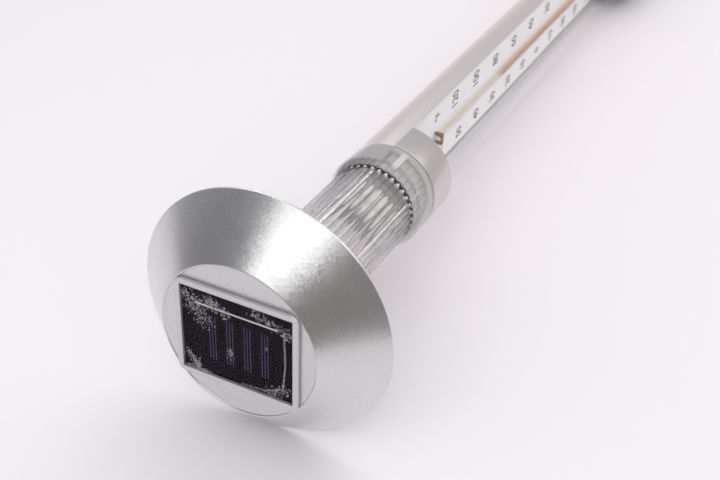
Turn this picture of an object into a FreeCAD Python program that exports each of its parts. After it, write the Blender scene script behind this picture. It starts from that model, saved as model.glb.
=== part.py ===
import FreeCAD, Part
import math
import os
import re

import Sketcher

# A solar garden light with a thermometer in its pole. The frame is +Z up, millimetres. The origin is on
# the pole's axis at ground level, under the flange of the spike. +X is the side the scale is read from.

DIMENSIONS = {
    # lamp head: a shallow cone of sheet metal with a flat top
    "rim_level": 525.0,
    "cap_radius": 63.5,
    "cap_height": 22.4,
    "plateau_radius": 38.9,
    "sheet_wall": 1.0,
    "rim_lip": 1.0,
    "edge_bead": 0.35,
    # solar panel and its frame
    "bezel_length": 61.5,
    "bezel_width": 51.0,
    "bezel_flange": 1.4,
    "bezel_corner": 4.0,
    "neck_corner": 3.0,
    "opening_length": 56.2,
    "opening_width": 45.7,
    "neck_length": 58.7,
    "neck_width": 48.2,
    "gasket_thickness": 0.4,
    "panel_gap": 0.1,
    "panel_recess": 0.4,
    "board_thickness": 1.2,
    "cell_thickness": 0.2,
    "cell_width": 7.6,
    "cell_pitch": 8.8,
    "cell_margin": 2.0,
    "cell_shift": 0.7,
    "ribbon_thickness": 0.1,
    "crossbar_start": -20.8,
    "crossbar_end": 20.2,
    "crossbar_break": -11.3,
    "crossbar_gap": 0.5,
    "crossbar_width": 0.7,
    "crossbar_level": 14.6,
    "tail_length": 23.8,
    "tail_level": -1.8,
    "tail_pitch": 1.45,
    "tail_width": 0.3,
    "resin_thickness": 0.7,
    "pad_thickness": 0.6,
    "pad_border": 8.0,
    "tray_floor": 1.0,
    "port_length": 14.0,
    "port_width": 8.0,
    "port_level": 6.0,
    "boss_radius": 3.0,
    "boss_x": 24.0,
    "boss_y": 19.0,
    # base moulding under the head
    "base_radius": 58.4,
    "base_wall": 2.0,
    "base_recess": 1.0,
    "spigot_length": 10.0,
    "spigot_wall": 3.0,
    "ring_radius": 0.8,
    "screw_radius": 1.25,
    "screw_head_radius": 2.5,
    "screw_head_height": 1.6,
    "screw_length": 12.0,
    "screw_slot": 0.5,
    # battery bay
    "battery_radius": 7.1,
    "battery_can": 49.0,
    "battery_nub": 1.5,
    "battery_offset": 32.0,
    "battery_rise": 6.0,
    "bay_half_length": 28.0,
    "bay_radius": 7.5,
    "bay_wall": 0.9,
    "bay_side_wall": 1.2,
    "bay_drop": 1.6,
    "contact_thickness": 0.5,
    "contact_width": 9.0,
    "door_thickness": 1.5,
    "rib_pitch": 1.8,
    "rib_length": 14.0,
    "rib_width": 0.8,
    "rib_height": 0.4,
    "tongue_length": 8.0,
    "tongue_height": 2.6,
    "hinge_gap": 0.2,
    "hinge_play": 0.06,
    "knuckle_radius": 1.3,
    "knuckle_half": 12.0,
    "pin_radius": 0.8,
    "pin_length": 2.5,
    "ear_width": 2.9,
    "ear_drop": 1.4,
    # switch
    "switch_offset": 41.0,
    "switch_length": 8.6,
    "switch_width": 4.4,
    "switch_height": 4.0,
    "switch_travel": 2.0,
    "can_wall": 0.6,
    "stem_width": 2.0,
    "stem_drop": 1.6,
    "vent_radius": 1.5,
    "vent_offset": 40.0,
    # driver board and light source
    "driver_length": 34.0,
    "driver_width": 28.0,
    "driver_rise": 9.0,
    "driver_offset": 7.0,
    "post_x": 13.0,
    "post_y": 17.0,
    "post_radius": 2.4,
    "post_hole": 0.8,
    "board_screw_head": 1.7,
    "board_screw_head_height": 1.2,
    "board_screw_length": 5.0,
    "coil_radius": 1.6,
    "coil_length": 9.0,
    "led_radius": 2.5,
    "led_flange": 1.0,
    "led_drop": 3.0,
    # fluted lens
    "lens_radius": 23.05,
    "lens_root": 22.3,
    "lens_bore": 20.8,
    "flute_radius": 1.9,
    "flute_count": 36.0,
    "fit_gap": 0.1,
    "cup_wall": 1.2,
    "cup_floor": 1.4,
    "cup_skirt": 9.0,
    "cup_rise": 2.0,
    "cup_cone": 9.0,
    "cup_cone_radius": 11.0,
    # clear sleeve and silver band where lens and pole meet
    "sleeve_top": 419.2,
    "sleeve_bottom": 400.1,
    "sleeve_radius": 26.2,
    "sleeve_wall": 0.8,
    "sleeve_lip": 1.5,
    "sleeve_mouth": 24.3,
    "sleeve_taper": 2.5,
    "band_bottom": 378.5,
    "key_start": 64.5,
    "key_sweep": 7.5,
    "key_play": 0.15,
    "key_rise": 0.5,
    "key_bite": 0.1,
    "band_sweep": 179.0,
    # pole
    "tube_bottom": 9.0,
    "tube_top": 400.0,
    "tube_radius": 24.8,
    "tube_wall": 1.8,
    "lens_seat": 1.5,
    "plug_length": 12.0,
    "plug_play": 0.05,
    "joiner_wall": 1.6,
    "joiner_spigot": 7.0,
    "shell_wall": 0.5,
    "shell_start": 86.0,
    "seam_gap": 0.05,
    # thermometer
    "card_front": -1.6,
    "card_thickness": 1.0,
    "card_width": 40.0,
    "card_bottom": 28.0,
    "card_top": 395.0,
    "glass_radius": 1.9,
    "glass_bore": 1.0,
    "glass_top": 342.0,
    "backing_thickness": 0.3,
    "backing_width": 4.2,
    "bulb_level": 22.0,
    "bulb_radius": 4.0,
    "bulb_wall": 0.8,
    "spirit_top": 242.0,
    "clip_height": 2.6,
    "clip_side": 1.2,
    "clip_front": 0.7,
    # socket and spike
    "socket_radius": 27.2,
    "socket_top": 22.0,
    "plug_top": 36.0,
    "flange_thickness": 4.0,
    "stub_radius": 9.0,
    "stub_length": 10.0,
    "spike_length": 170.0,
    "spike_radius": 22.0,
    "spike_shoulder": 18.0,
    "spike_tip": 1.2,
    "blade_thickness": 3.0,
}

# Heights that many sub-parts share, as expressions of the sheet.
TOP = "(rim_level + cap_height)"
BEZEL_TOP = f"({TOP} + gasket_thickness + bezel_flange)"
RESIN_TOP = f"({BEZEL_TOP} - panel_recess)"
RIBBON_TOP = f"({RESIN_TOP} - resin_thickness)"
CELL_TOP = f"({RIBBON_TOP} - ribbon_thickness)"
BOARD_TOP = f"({CELL_TOP} - cell_thickness)"
PAD_TOP = f"({BOARD_TOP} - board_thickness)"
TRAY_TOP = f"({PAD_TOP} - pad_thickness)"
TRAY_BOTTOM = f"({TRAY_TOP} - tray_floor)"
BASE_BOTTOM = "(rim_level + base_recess)"
BASE_TOP = f"({BASE_BOTTOM} + base_wall)"
BATTERY_Z = "(rim_level + battery_rise)"
BAY_BOTTOM = "(rim_level - bay_drop)"
BAY_OUTER = "(battery_offset + bay_radius + bay_side_wall)"
BAY_INNER = "(battery_offset - bay_radius - bay_side_wall)"
BAY_LENGTH = "(2 * bay_half_length + 2 * bay_side_wall)"
BAY_WIDTH = f"({BAY_OUTER} - {BAY_INNER})"
HINGE_Y = f"({BAY_OUTER} + knuckle_radius + hinge_gap)"
HINGE_Z = f"({BAY_BOTTOM} - door_thickness / 2)"
DRIVER_BOTTOM = "(rim_level + driver_rise)"
DRIVER_TOP = f"({DRIVER_BOTTOM} + board_thickness)"
LENS_BOTTOM = "(tube_top + lens_seat)"
SPIGOT_RADIUS = "(lens_bore - fit_gap)"
SHELL_INNER = "(tube_radius + seam_gap)"
SHELL_OUTER = f"({SHELL_INNER} + shell_wall)"
TUBE_BORE = "(tube_radius - tube_wall)"
PLUG_RADIUS = f"({TUBE_BORE} - plug_play)"
GLASS_X = "(card_front + backing_thickness + glass_radius)"
CARD_SLOT = ("card_thickness + fit_gap", "card_width + fit_gap", "card_front - card_thickness / 2", "0")
SLEEVE_SHOULDER = "(sleeve_top - sleeve_taper - sleeve_lip)"
SIDES = (-1, 1)

DOCUMENT = FreeCAD.newDocument("SolarThermometerLight")
ALIASES = re.compile(r"\b(" + "|".join(DIMENSIONS) + r")\b")
NODES = []


def make_sheet():
    sheet = DOCUMENT.addObject("Spreadsheet::Sheet", "Dims")
    for row, (alias, value) in enumerate(DIMENSIONS.items(), start=1):
        sheet.set(f"A{row}", alias)
        sheet.set(f"B{row}", str(value))
        sheet.setAlias(f"B{row}", alias)
    DOCUMENT.recompute()
    return sheet


SHEET = make_sheet()


# ---- helpers: expressions and placement ----------------------------------------------------------------

def bound(expression):
    """The expression with each alias written as a cell of the sheet."""
    return ALIASES.sub(r"Dims.\1", str(expression))


def size(expression):
    """The expression's present value."""
    return float(SHEET.evalExpression(bound(expression)))


def bind(item, **expressions):
    for name, expression in expressions.items():
        item.setExpression(name, bound(expression))


def place(item, x="0", y="0", z="0"):
    for axis, expression in zip("xyz", (x, y, z)):
        item.setExpression(f"Placement.Base.{axis}", bound(expression))


def node(item, label):
    """Marks an object as a sub-part; its label names its file."""
    item.Label = label
    NODES.append(item)
    return item


# ---- helpers: primitives and booleans ------------------------------------------------------------------

def slab(name, length, width, height, x="0", y="0", z="0"):
    """A box centred on x and y, standing on z."""
    box = DOCUMENT.addObject("Part::Box", name)
    bind(box, Length=length, Width=width, Height=height)
    place(box, f"{x} - ({length}) / 2", f"{y} - ({width}) / 2", z)
    return box


def rod(name, radius, height, x="0", y="0", z="0", along="Z"):
    """A cylinder that starts at x, y, z and runs along +Z or +X."""
    cylinder = DOCUMENT.addObject("Part::Cylinder", name)
    bind(cylinder, Radius=radius, Height=height)
    if along == "X":
        quarter_turn = FreeCAD.Rotation(FreeCAD.Vector(0, 1, 0), 90)
        cylinder.Placement = FreeCAD.Placement(FreeCAD.Vector(), quarter_turn)
    place(cylinder, x, y, z)
    return cylinder


def ball(name, radius, x="0", y="0", z="0"):
    sphere = DOCUMENT.addObject("Part::Sphere", name)
    bind(sphere, Radius=radius)
    place(sphere, x, y, z)
    return sphere


def torus(name, ring, thickness, x="0", y="0", z="0"):
    item = DOCUMENT.addObject("Part::Torus", name)
    bind(item, Radius1=ring, Radius2=thickness)
    place(item, x, y, z)
    return item


def union(name, pieces):
    fused = DOCUMENT.addObject("Part::MultiFuse", name)
    fused.Shapes = pieces
    fused.Refine = True
    return fused


def minus(name, base, tools):
    result = DOCUMENT.addObject("Part::Cut", name)
    result.Base = base
    result.Tool = tools[0] if len(tools) == 1 else union(name + "_tools", tools)
    result.Refine = True
    return result


def group(name, pieces):
    """Separate solids that share one node."""
    compound = DOCUMENT.addObject("Part::Compound", name)
    compound.Links = pieces
    return compound


# ---- helpers: bodies, sketches and features ------------------------------------------------------------

def new_body(name):
    return DOCUMENT.addObject("PartDesign::Body", name)


def origin_feature(body, role):
    return next(item for item in body.Origin.OriginFeatures if item.Role == role)


def new_sketch(body, name, plane, offset=None):
    sketch = body.newObject("Sketcher::SketchObject", name)
    sketch.AttachmentSupport = [(origin_feature(body, plane), "")]
    sketch.MapMode = "FlatFace"
    if offset is not None:
        sketch.setExpression("AttachmentOffset.Base.z", bound(offset))
    return sketch


def pin_point(sketch, geometry, position, x, y):
    """Holds a point of the sketch at x, y, both sheet expressions."""
    for kind, expression in (("DistanceX", x), ("DistanceY", y)):
        rule = Sketcher.Constraint(kind, -1, 1, geometry, position, size(expression))
        index = sketch.addConstraint(rule)
        sketch.setExpression(f"Constraints[{index}]", bound(expression))


def polygon(sketch, corners):
    """A closed outline through the corners, each a pair of sheet expressions."""
    points = [FreeCAD.Vector(size(x), size(y), 0) for x, y in corners]
    count = len(points)
    for index in range(count):
        sketch.addGeometry(Part.LineSegment(points[index], points[(index + 1) % count]))
    for index in range(count):
        sketch.addConstraint(Sketcher.Constraint("Coincident", index, 2, (index + 1) % count, 1))
    for index, (x, y) in enumerate(corners):
        pin_point(sketch, index, 1, x, y)


def rectangle(sketch, length, width, x="0", y="0"):
    west, east = f"{x} - ({length}) / 2", f"{x} + ({length}) / 2"
    south, north = f"{y} - ({width}) / 2", f"{y} + ({width}) / 2"
    polygon(sketch, [(west, south), (east, south), (east, north), (west, north)])


def rounded_rectangle(sketch, length, width, corner):
    """A rectangle about the origin with round corners: four sides pinned at their ends, four tangent arcs."""
    east, north = f"(({length}) / 2)", f"(({width}) / 2)"
    east_in, north_in = f"({east} - {corner})", f"({north} - {corner})"
    sides = [
        ((f"-{east_in}", f"-{north}"), (east_in, f"-{north}")),
        ((east, f"-{north_in}"), (east, north_in)),
        ((east_in, north), (f"-{east_in}", north)),
        ((f"-{east}", north_in), (f"-{east}", f"-{north_in}")),
    ]
    centres = [
        (east_in, f"-{north_in}"),
        (east_in, north_in),
        (f"-{east_in}", north_in),
        (f"-{east_in}", f"-{north_in}"),
    ]
    for first, last in sides:
        ends = [FreeCAD.Vector(size(x), size(y), 0) for x, y in (first, last)]
        line = sketch.addGeometry(Part.LineSegment(*ends))
        pin_point(sketch, line, 1, *first)
        pin_point(sketch, line, 2, *last)
    for index, (x, y) in enumerate(centres):
        centre = FreeCAD.Vector(size(x), size(y), 0)
        round_corner = Part.Circle(centre, FreeCAD.Vector(0, 0, 1), size(corner))
        quarter = math.pi / 2
        arc = sketch.addGeometry(Part.ArcOfCircle(round_corner, (index - 1) * quarter, index * quarter))
        sketch.addConstraint(Sketcher.Constraint("Tangent", index, 2, arc, 1))
        sketch.addConstraint(Sketcher.Constraint("Coincident", arc, 2, (index + 1) % 4, 1))


def circle(sketch, radius, x="0", y="0"):
    centre = FreeCAD.Vector(size(x), size(y), 0)
    index = sketch.addGeometry(Part.Circle(centre, FreeCAD.Vector(0, 0, 1), size(radius)))
    pin_point(sketch, index, 3, x, y)
    rule = sketch.addConstraint(Sketcher.Constraint("Radius", index, size(radius)))
    sketch.setExpression(f"Constraints[{rule}]", bound(radius))


def pad(body, sketch, length, midplane=False, down=False):
    feature = body.newObject("PartDesign::Pad", sketch.Name + "_pad")
    feature.Profile = sketch
    feature.setExpression("Length", bound(length))
    feature.Midplane = midplane
    feature.Reversed = down
    return feature


def pocket(body, sketch, length, up=False):
    feature = body.newObject("PartDesign::Pocket", sketch.Name + "_pocket")
    feature.Profile = sketch
    feature.setExpression("Length", bound(length))
    feature.Reversed = up
    return feature


def revolve(body, sketch, angle=360):
    feature = body.newObject("PartDesign::Revolution", sketch.Name + "_turned")
    feature.Profile = sketch
    feature.ReferenceAxis = (sketch, ["V_Axis"])
    feature.Angle = size(angle)
    return feature


def polar(body, feature, count):
    pattern = body.newObject("PartDesign::PolarPattern", feature.Name + "_around")
    pattern.Originals = [feature]
    pattern.Axis = (origin_feature(body, "Z_Axis"), [""])
    pattern.Angle = 360
    pattern.setExpression("Occurrences", bound(count))
    body.Tip = pattern
    return pattern


def turned(name, corners, angle=360, start="0"):
    """A body turned about Z from an outline of (radius, height) corners."""
    body = new_body(name)
    sketch = new_sketch(body, name + "_outline", "XZ_Plane")
    polygon(sketch, corners)
    revolve(body, sketch, angle)
    turn = FreeCAD.Rotation(FreeCAD.Vector(0, 0, 1), size(start))
    body.Placement = FreeCAD.Placement(FreeCAD.Vector(), turn)
    return body


def wire(points, radius):
    """A round lead that runs smoothly through the points and meets both end faces square on."""
    spots = [FreeCAD.Vector(*point) for point in points]
    down = FreeCAD.Vector(0, 0, -1)
    leave = down if spots[1].z < spots[0].z else -down
    arrive = down if spots[-1].z < spots[-2].z else -down
    curve = Part.BSplineCurve()
    curve.interpolate(Points=spots, InitialTangent=leave, FinalTangent=arrive)
    section = Part.Wire([Part.makeCircle(radius, spots[0], leave)])
    return Part.Wire([curve.toShape()]).makePipeShell([section], True, False)


def leads(label, runs, radius):
    """A node of separate leads, each run a list of points."""
    item = DOCUMENT.addObject("Part::Feature", label)
    item.Shape = Part.makeCompound([wire(points, radius) for points in runs])
    return node(item, label)


# ---- lamp head: cap, panel frame and panel -------------------------------------------------------------

def make_cap_shell():
    """Pressed cone: flat top with a bead round it, a short lip at the rim, a window for the panel."""
    slope = "hypot(cap_height; cap_radius - plateau_radius)"
    drop = f"(sheet_wall * {slope} / (cap_radius - plateau_radius))"
    inset = f"(sheet_wall * {slope} / cap_height)"
    fall = "(cap_height / (cap_radius - plateau_radius))"
    bead_half = "(edge_bead * 6 / 7)"
    body = turned("cap_shell", [
        ("0", TOP),
        (f"plateau_radius - 2 * {bead_half}", TOP),
        (f"plateau_radius - {bead_half}", f"{TOP} + edge_bead"),
        (f"plateau_radius + {bead_half}", f"{TOP} + edge_bead"),
        ("cap_radius", "rim_level"),
        ("cap_radius", "rim_level - rim_lip"),
        ("cap_radius - sheet_wall", "rim_level - rim_lip"),
        ("cap_radius - sheet_wall", f"rim_level - {drop} + sheet_wall * {fall}"),
        (f"plateau_radius + sheet_wall / {fall} - {inset}", f"{TOP} - sheet_wall"),
        ("0", f"{TOP} - sheet_wall"),
    ])
    window = new_sketch(body, "cap_window", "XY_Plane", f"{TOP} + 1")
    rounded_rectangle(window, "neck_length + 2 * fit_gap", "neck_width + 2 * fit_gap", "neck_corner")
    pocket(body, window, "sheet_wall + 2")
    return node(body, "cap_shell")


def make_panel_bezel():
    """Frame round the panel: flange on the cap, neck through the window, tray floor and four bosses."""
    body = new_body("panel_bezel")
    flange = new_sketch(body, "bezel_flange_outline", "XY_Plane", f"{TOP} + gasket_thickness")
    rounded_rectangle(flange, "bezel_length", "bezel_width", "bezel_corner")
    pad(body, flange, "bezel_flange")
    neck = new_sketch(body, "bezel_neck_outline", "XY_Plane", f"{TOP} + gasket_thickness")
    rounded_rectangle(neck, "neck_length", "neck_width", "neck_corner")
    pad(body, neck, f"{TOP} + gasket_thickness - {TRAY_BOTTOM}", down=True)
    well = new_sketch(body, "bezel_well_outline", "XY_Plane", BEZEL_TOP)
    rectangle(well, "opening_length", "opening_width")
    pocket(body, well, f"{BEZEL_TOP} - {TRAY_TOP}")
    port = new_sketch(body, "bezel_port_outline", "XY_Plane", TRAY_TOP)
    rectangle(port, "port_length", "port_width", "0", "port_level")
    pocket(body, port, "tray_floor + 1")
    for index, (side_x, side_y) in enumerate(((1, 1), (-1, 1), (-1, -1), (1, -1)), start=1):
        post = new_sketch(body, f"bezel_boss_{index}", "XY_Plane", TRAY_BOTTOM)
        x, y = f"{side_x} * boss_x", f"{side_y} * boss_y"
        circle(post, "boss_radius", x, y)
        circle(post, "screw_radius", x, y)
        pad(body, post, f"{TRAY_BOTTOM} - {BASE_TOP}", down=True)
    return node(body, "panel_bezel")


def make_panel_gasket():
    body = new_body("panel_gasket")
    ring = new_sketch(body, "gasket_outline", "XY_Plane", TOP)
    inset = "6 * fit_gap"
    rounded_rectangle(ring, f"bezel_length - {inset}", f"bezel_width - {inset}", "bezel_corner")
    pad(body, ring, "gasket_thickness")
    window = new_sketch(body, "gasket_window", "XY_Plane", f"{TOP} + gasket_thickness")
    rounded_rectangle(window, "neck_length + 2 * fit_gap", "neck_width + 2 * fit_gap", "neck_corner")
    pocket(body, window, "gasket_thickness + 1")
    return node(body, "panel_gasket")


def make_solar_panel():
    """Board, four cell strips, soldered ribbons, clear resin and the foam pad the board lies on."""
    length, width = "(opening_length - 2 * panel_gap)", "(opening_width - 2 * panel_gap)"
    node(slab("solar_board", length, width, "board_thickness", z=PAD_TOP), "solar_board")
    strips = []
    tails = []
    for index in range(4):
        x = f"cell_shift + ({index} - 1.5) * cell_pitch"
        strips.append(slab(f"cell_{index + 1}", "cell_width", "opening_width - 2 * cell_margin",
                           "cell_thickness", x, "0", BOARD_TOP))
        for line in (-1, 0, 1):
            tails.append(slab(f"tail_{index + 1}_{line + 2}", "tail_width", "tail_length",
                              "ribbon_thickness", f"{x} + {line} * tail_pitch", "tail_level", CELL_TOP))
    node(group("solar_cells", strips), "solar_cells")
    bars = []
    ends = (("crossbar_start", "crossbar_break - crossbar_gap"), ("crossbar_break", "crossbar_end"))
    for index, (start, end) in enumerate(ends, start=1):
        bars.append(slab(f"crossbar_{index}", f"({end}) - ({start})", "crossbar_width", "ribbon_thickness",
                         f"({start} + {end}) / 2", "crossbar_level", CELL_TOP))
    node(group("cell_ribbons", bars + tails), "cell_ribbons")
    node(slab("panel_resin", length, width, "resin_thickness", z=RIBBON_TOP), "panel_resin")
    pad_outer = slab("pad_outer", length, width, "pad_thickness", z=TRAY_TOP)
    pad_inner = slab("pad_inner", f"{length} - 2 * pad_border", f"{width} - 2 * pad_border",
                     "pad_thickness + 2", z=f"{TRAY_TOP} - 1")
    node(minus("panel_pad", pad_outer, [pad_inner]), "panel_pad")


# ---- lamp head: base moulding, battery, switch and electronics -----------------------------------------

def make_head_base():
    """Round base with a spigot for the lens, a battery bay, hinge ears, board posts and screw holes."""
    bay_height = f"({BATTERY_Z} - {BAY_BOTTOM})"
    spigot_bottom = f"({BASE_BOTTOM} - spigot_length)"
    through = "base_wall + 2"
    under = f"{BASE_BOTTOM} - 1"
    solids = [
        rod("base_disc", "base_radius", "base_wall", z=BASE_BOTTOM),
        rod("base_spigot", SPIGOT_RADIUS, "spigot_length", z=spigot_bottom),
        slab("bay_walls", BAY_LENGTH, BAY_WIDTH, bay_height, "0", "-battery_offset", BAY_BOTTOM),
        rod("bay_roof", "bay_radius + bay_wall", BAY_LENGTH, f"-{BAY_LENGTH} / 2", "-battery_offset",
            BATTERY_Z, "X"),
    ]
    ear_bottom = f"({HINGE_Z} - ear_drop)"
    ear_depth = f"({HINGE_Y} + knuckle_radius + 0.3 - {BAY_OUTER} + 1)"
    for side in SIDES:
        solids.append(rod(f"board_post_{side + 2}", "post_radius", f"{DRIVER_BOTTOM} - {BASE_TOP}",
                          f"{side} * post_x", "post_y", BASE_TOP))
        solids.append(slab(f"ear_{side + 2}", "ear_width", ear_depth, f"{BASE_BOTTOM} + 0.5 - {ear_bottom}",
                           ear_x(side), f"-({BAY_OUTER} - 1 + {ear_depth} / 2)", ear_bottom))
    stock = union("base_stock", solids)
    ring_z = f"({BASE_BOTTOM} - spigot_length / 2)"
    ring_line = "lens_bore - fit_gap / 2 - ring_radius"
    groove_half = "(ring_radius + fit_gap / 2)"
    groove = minus("ring_groove",
                   rod("groove_outer", "lens_bore", f"2 * {groove_half}", z=f"{ring_z} - {groove_half}"),
                   [rod("groove_core", f"{ring_line} - ring_radius", "4", z=f"{ring_z} - 2")])
    cuts = [
        groove,
        slab("under_bay", BAY_LENGTH, BAY_WIDTH, "8", "0", "-battery_offset", f"{BAY_BOTTOM} - 8"),
        rod("spigot_bore", f"{SPIGOT_RADIUS} - spigot_wall", "spigot_length", z=spigot_bottom),
        rod("led_hole", "led_radius + fit_gap / 2", "base_wall + 1", z=f"{BASE_BOTTOM} - 0.5"),
        slab("bay_room", "2 * bay_half_length", "2 * bay_radius", f"{bay_height} + 1",
             "0", "-battery_offset", f"{BAY_BOTTOM} - 1"),
        rod("roof_room", "bay_radius", "2 * bay_half_length", "-bay_half_length", "-battery_offset",
            BATTERY_Z, "X"),
        rod("hinge_bore", "pin_radius + hinge_play", "base_radius", "-base_radius / 2", f"-{HINGE_Y}",
            HINGE_Z, "X"),
        slab("switch_slot", "switch_travel + stem_width + 0.4", "stem_width + 0.2", through,
             "0", "switch_offset", under),
        rod("vent_hole", "vent_radius", through, "-vent_offset", "0", under),
    ]
    for side_x in SIDES:
        cuts.append(rod(f"post_hole_{side_x + 2}", "post_hole", "board_screw_length + 1",
                        f"{side_x} * post_x", "post_y", f"{DRIVER_BOTTOM} - board_screw_length"))
        for side_y in SIDES:
            cuts.append(rod(f"screw_hole_{side_x + 2}_{side_y + 2}", "screw_radius + 0.25", through,
                            f"{side_x} * boss_x", f"{side_y} * boss_y", under))
    node(minus("head_base", stock, cuts), "head_base")
    node(torus("lens_seal", ring_line, "ring_radius", z=ring_z), "lens_seal")


def ear_x(side):
    """Where the hinge ear stands on one side, just past the end of the door's barrel."""
    return f"{side} * (knuckle_half + fit_gap + ear_width / 2)"


def screw(name, radius, head_radius, head_height, length, x, y, seat, up):
    """A pan-head screw with a cross slot. The head's flat is on seat; up is 1 or -1, the way it points in."""
    head_z = f"{seat} - {head_height}" if up == 1 else seat
    shank_z = seat if up == 1 else f"{seat} - {length}"
    slot_z = f"{head_z} - screw_slot" if up == 1 else f"{head_z} + {head_height} - screw_slot"
    stock = union(name + "_stock", [rod(name + "_head", head_radius, head_height, x, y, head_z),
                                    rod(name + "_shank", radius, length, x, y, shank_z)])
    arm = f"{head_radius} * 1.2"
    slots = [slab(name + "_slot_1", arm, "screw_slot", "2 * screw_slot", x, y, slot_z),
             slab(name + "_slot_2", "screw_slot", arm, "2 * screw_slot", x, y, slot_z)]
    return minus(name, stock, slots)


def make_screws():
    base_screws = []
    board_screws = []
    for side_x in SIDES:
        for side_y in SIDES:
            base_screws.append(screw(f"base_screw_{side_x + 2}_{side_y + 2}", "screw_radius",
                                     "screw_head_radius", "screw_head_height", "screw_length",
                                     f"{side_x} * boss_x", f"{side_y} * boss_y", BASE_BOTTOM, 1))
        board_screws.append(screw(f"board_screw_{side_x + 2}", "post_hole", "board_screw_head",
                                  "board_screw_head_height", "board_screw_length",
                                  f"{side_x} * post_x", "post_y", DRIVER_TOP, -1))
    node(group("base_screws", base_screws), "base_screws")
    node(group("board_screws", board_screws), "board_screws")


def make_battery_door():
    """Lid of the battery bay: plate, hinge barrel with its two pins, locating tongue and grip ribs."""
    web = f"({HINGE_Y} - {BAY_OUTER})"
    plate_z = f"({BAY_BOTTOM} - door_thickness)"
    pin_half = "(knuckle_half + pin_length)"
    plate = slab("door_plate", BAY_LENGTH, BAY_WIDTH, "door_thickness", "0", "-battery_offset", plate_z)
    solids = [
        slab("door_web", "2 * knuckle_half", f"{web} + 0.5", "door_thickness", "0",
             f"-({BAY_OUTER} + {web} / 2 - 0.25)", plate_z),
        rod("door_barrel", "knuckle_radius", "2 * knuckle_half", "-knuckle_half", f"-{HINGE_Y}",
            HINGE_Z, "X"),
        rod("door_pin", "pin_radius", f"2 * {pin_half}", f"-{pin_half}", f"-{HINGE_Y}", HINGE_Z, "X"),
        slab("door_tongue", "tongue_length", "1", "tongue_height", "0",
             f"-({BAY_INNER} + bay_side_wall + 0.9)", BAY_BOTTOM),
    ]
    for index in range(4):
        solids.append(slab(f"door_rib_{index + 1}", "rib_length", "rib_width", "rib_height", "0",
                           f"-({BAY_INNER} + 2 + {index} * rib_pitch)", f"{plate_z} - rib_height"))
    notches = [slab(f"door_notch_{side + 2}", "ear_width + 0.6", "3", "door_thickness + 1",
                    ear_x(side), f"-({BAY_OUTER} + 0.3)", f"{plate_z} - 0.5")
               for side in SIDES]
    node(union("battery_door", [minus("door_lid", plate, notches)] + solids), "battery_door")


def make_battery():
    """One AA cell with the spring and the plates that press on its ends."""
    can_start = "bay_half_length - contact_thickness - battery_nub - battery_can"
    can = rod("cell_can", "battery_radius", "battery_can", can_start, "-battery_offset", BATTERY_Z, "X")
    nub = rod("cell_nub", "2.6", "battery_nub", "bay_half_length - contact_thickness - battery_nub",
              "-battery_offset", BATTERY_Z, "X")
    node(union("battery", [can, nub]), "battery")
    plates = []
    for side in SIDES:
        plates.append(slab(f"contact_{side + 2}", "contact_thickness", "contact_width", "contact_width",
                           f"{side} * (bay_half_length - contact_thickness / 2)", "-battery_offset",
                           f"{BATTERY_Z} - contact_width / 2"))
    node(group("battery_contacts", plates), "battery_contacts")
    strand, coil_radius, turns, steps = 0.3, 3.2, 4, 16
    first_x = size("contact_thickness - bay_half_length") + strand
    travel = size(can_start) - strand - first_x
    centre_y, centre_z = size("-battery_offset"), size(BATTERY_Z)
    path = []
    for index in range(turns * steps + 1):
        angle = 2 * math.pi * index / steps
        path.append(FreeCAD.Vector(first_x + travel * index / (turns * steps),
                                   centre_y + coil_radius * math.cos(angle),
                                   centre_z + coil_radius * math.sin(angle)))
    curve = Part.BSplineCurve()
    curve.interpolate(path)
    section = Part.Wire([Part.makeCircle(strand, path[0], curve.tangent(curve.FirstParameter)[0])])
    spring = DOCUMENT.addObject("Part::Feature", "battery_spring")
    spring.Shape = Part.Wire([curve.toShape()]).makePipeShell([section], True, False)
    node(spring, "battery_spring")


def make_switch():
    """Slide switch: a metal can on the base and a slider whose stem comes out through the slot."""
    can = slab("switch_can", "switch_length", "switch_width", "switch_height", "0", "switch_offset", BASE_TOP)
    room = slab("switch_room", "switch_length - 2 * can_wall", "switch_width - 2 * can_wall",
                "switch_height - can_wall", "0", "switch_offset", f"{BASE_TOP} - 0.2")
    node(minus("switch_body", can, [room]), "switch_body")
    rest_x = "-switch_travel / 2"
    stem_bottom = f"({BASE_BOTTOM} - stem_drop)"
    slider = union("switch_slider", [
        slab("slider_block", "2 * stem_width", "switch_width - 2 * can_wall - 0.2", "2", rest_x,
             "switch_offset", f"{BASE_TOP} + 0.2"),
        slab("slider_stem", "stem_width", "stem_width", f"{BASE_TOP} + 0.2 - {stem_bottom}", rest_x,
             "switch_offset", stem_bottom),
    ])
    node(slider, "switch_slider")


def make_electronics():
    """Driver board with its chip and coil, and the LED that shines down into the lens."""
    board = slab("driver_blank", "driver_length", "driver_width", "board_thickness", "0", "driver_offset",
                 DRIVER_BOTTOM)
    holes = [rod(f"driver_hole_{side + 2}", "post_hole + fit_gap", "board_thickness + 2",
                 f"{side} * post_x", "post_y", f"{DRIVER_BOTTOM} - 1") for side in SIDES]
    node(minus("circuit_board", board, holes), "circuit_board")
    node(slab("driver_chip", "4", "3", "3.6", "-8", "4", DRIVER_TOP), "driver_chip")
    node(rod("coil", "coil_radius", "coil_length", "0", "-1", f"{DRIVER_TOP} + coil_radius", "X"), "coil")
    led_tip = "(rim_level - led_drop)"
    barrel = rod("led_barrel", "led_radius", f"{BASE_TOP} + led_flange - {led_tip}", z=led_tip)
    dome = ball("led_dome", "led_radius", z=led_tip)
    flange = rod("led_flange_disc", "led_radius + 0.4", "led_flange", z=BASE_TOP)
    node(union("led", [barrel, dome, flange]), "led")


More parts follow.
